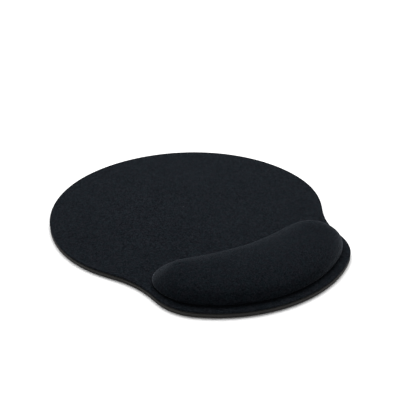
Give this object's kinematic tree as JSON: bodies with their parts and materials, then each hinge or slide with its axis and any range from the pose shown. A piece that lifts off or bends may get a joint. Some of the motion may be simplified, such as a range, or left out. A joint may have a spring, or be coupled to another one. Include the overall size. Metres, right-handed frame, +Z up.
{
  "type": "mouse mat with wrist rest",
  "caption": "Round-backed cloth mouse mat on a foam-rubber base, with a kidney-shaped gel wrist rest built in along its front edge.",
  "frame": {"origin": "bottom centre of the mat, on the surface it lies on", "axes": "+Z up, +Y away from the user along the mat's depth towards its round back edge, +X to the user's right; the wrist rest is on the -Y side"},
  "size_m": [0.22, 0.25, 0.02],
  "materials": {
    "foam_rubber": "matt, closed-cell, moulded grip pattern underneath",
    "film": "satin film",
    "backing": "matt film",
    "knit_cloth": "fine stretch knit",
    "gel": "soft and clear"
  },
  "bodies": {
    "root": {"base_sheet": "foam_rubber", "bond_film": "film", "cloth_backing": "backing", "face_cloth": "knit_cloth", "gel_closing_sheet": "film", "gel_core": "gel"}
  },
  "joints": []
}
